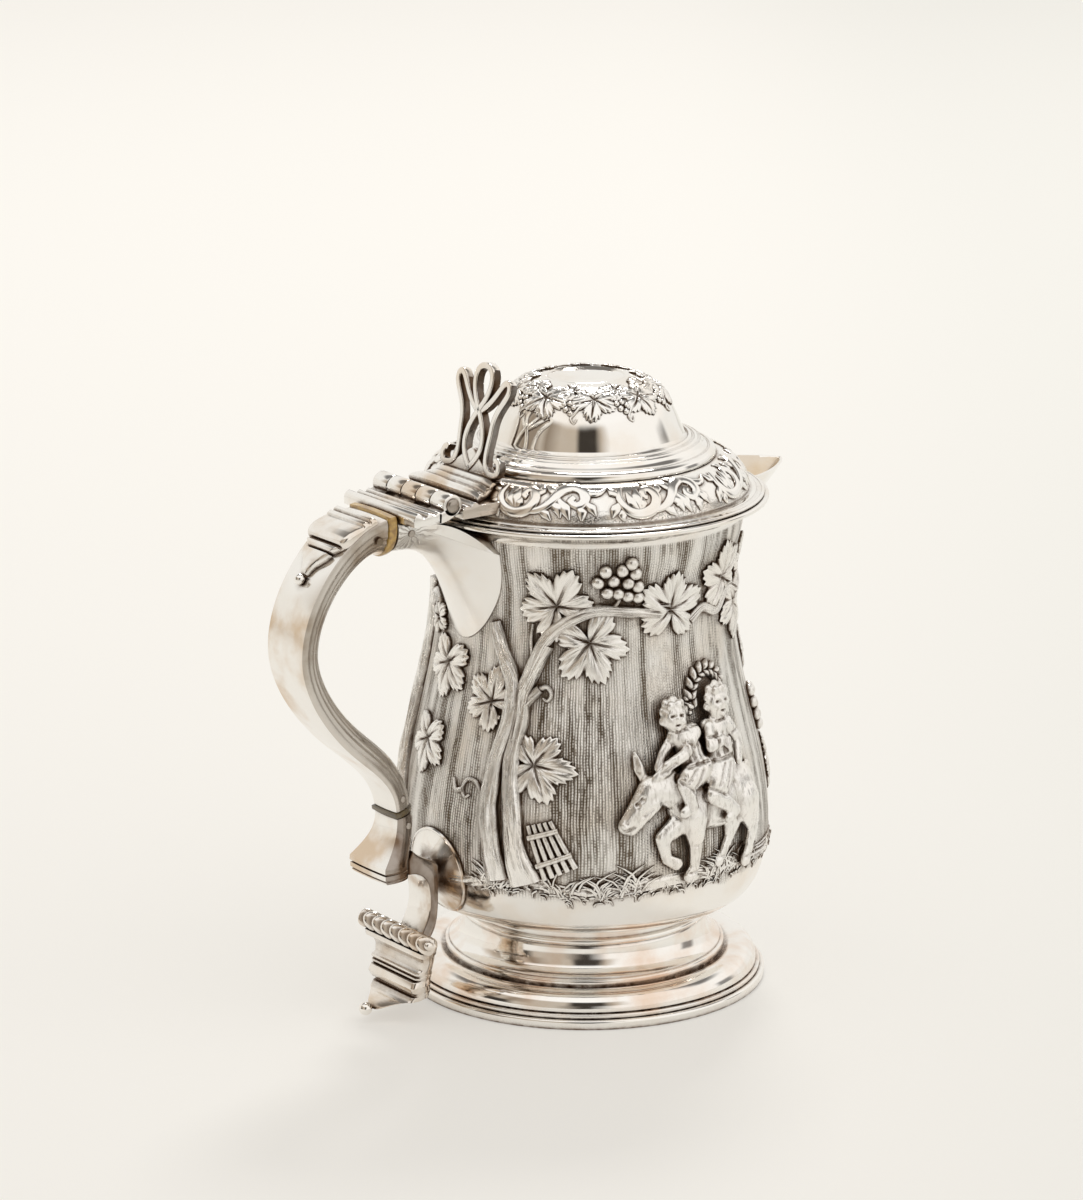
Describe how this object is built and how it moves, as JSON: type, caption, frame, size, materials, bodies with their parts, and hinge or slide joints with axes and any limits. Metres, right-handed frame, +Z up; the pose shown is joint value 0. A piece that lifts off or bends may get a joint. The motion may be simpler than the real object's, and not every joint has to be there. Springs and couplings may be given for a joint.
{
  "type": "lidded tankard",
  "caption": "Silver tankard with a bulbous chased cup on a moulded foot, a pouring lip, a hinged domed lid with an openwork thumbpiece and an insulated scroll handle.",
  "frame": {"origin": "middle of the overall length and width, on the surface the foot wire stands on", "axes": "+Z up along the cup's axis, +X towards the pouring lip, -X towards the handle, +Y across the handle"},
  "size_m": [0.1994, 0.1216, 0.2127],
  "materials": {
    "silver": "polished silver with light warm tarnish",
    "pin_silver": "worn silver",
    "insulator": "amber-brown insulating collar, lightly polished"
  },
  "bodies": {
    "tankard": {"foot_wire": "silver", "foot": "silver", "cup": "silver", "rim_wire": "silver", "spout": "silver", "handle_hinge_leaf": "silver", "hinge_pin": "pin_silver", "upper_socket": "silver", "upper_insulator": "insulator", "handle": "silver", "handle_cap": "silver", "handle_drop": "silver", "handle_bead": "silver", "lower_insulator": "insulator", "lower_socket": "silver", "upper_socket_pin": "pin_silver", "handle_upper_pin": "pin_silver", "handle_lower_pin": "pin_silver", "lower_socket_pin": "pin_silver", "cup_boss": "silver", "scroll_bracket": "silver", "handle_terminal": "silver", "terminal_gadroon": "silver", "terminal_bead": "silver"},
    "lid": {"lid_flange": "silver", "lid_dome": "silver", "lid_bezel": "silver", "lid_hinge_leaf": "silver", "thumbpiece_pad": "silver", "thumbpiece": "silver"}
  },
  "joints": [
    {"name": "lid_hinge", "type": "hinge", "parent": "tankard", "child": "lid", "pos_m": [-0.0486, 0, 0.1737], "axis": [0, -1, 0], "range_deg": [0, 108]}
  ]
}
